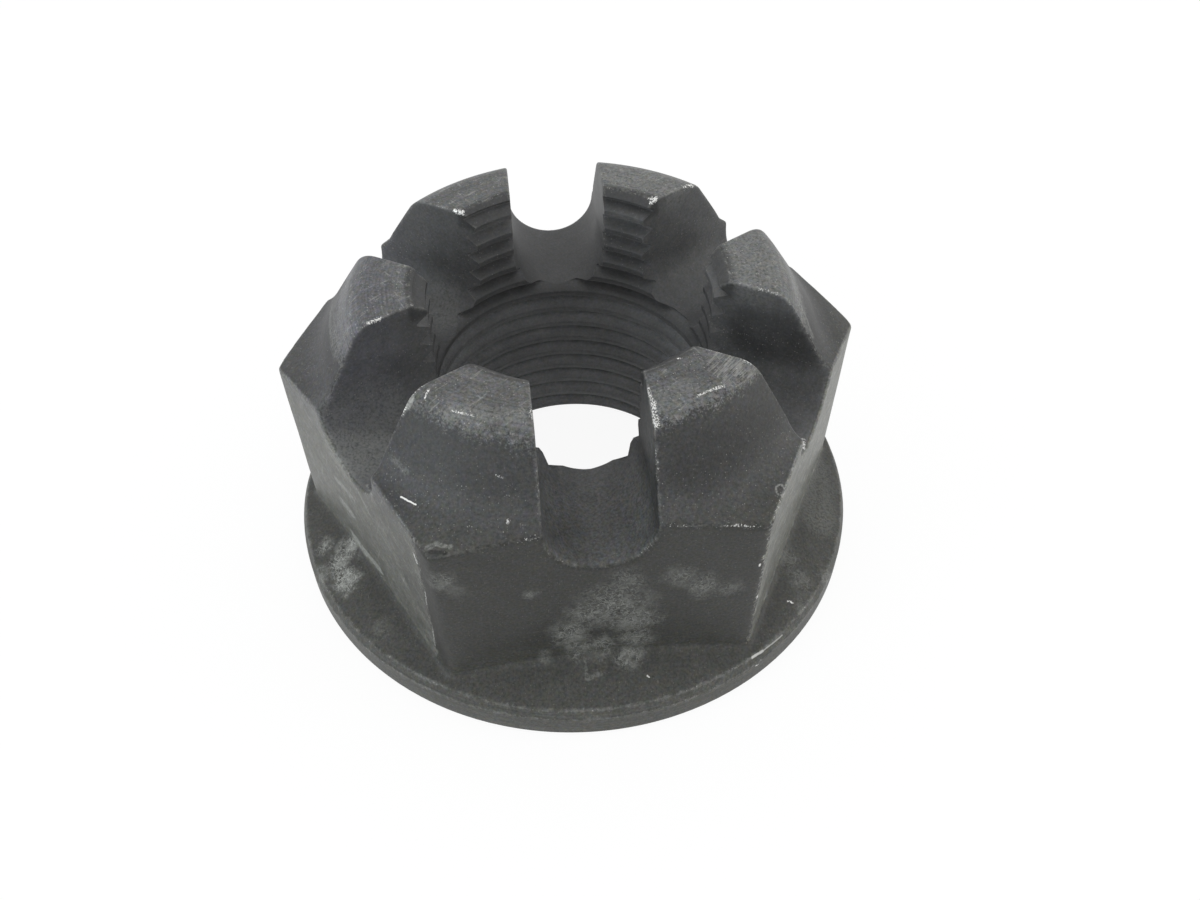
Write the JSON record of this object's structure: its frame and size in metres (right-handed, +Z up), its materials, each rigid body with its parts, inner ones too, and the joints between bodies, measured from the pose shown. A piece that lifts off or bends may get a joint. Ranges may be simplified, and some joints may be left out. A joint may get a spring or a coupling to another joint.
{
  "type": "castellated flange nut",
  "caption": "One-piece forged hexagon nut on a wide sloping flange, with round-bottomed locking slots cut through a turned crown.",
  "frame": {"origin": "centre of the flange's bearing face", "axes": "+Z up along the bore towards the slotted crown, +X through the middle of a prong (a corner of the hexagon), +Y through the middle of a slot (a flat of the hexagon)"},
  "size_m": [0.0556, 0.0556, 0.029],
  "materials": {
    "black_oxide_steel": "forged steel with a matte black-oxide skin, rubbed greyer on the top of the crown and along the edges"
  },
  "bodies": {
    "root": {"nut": "black_oxide_steel"}
  },
  "joints": []
}
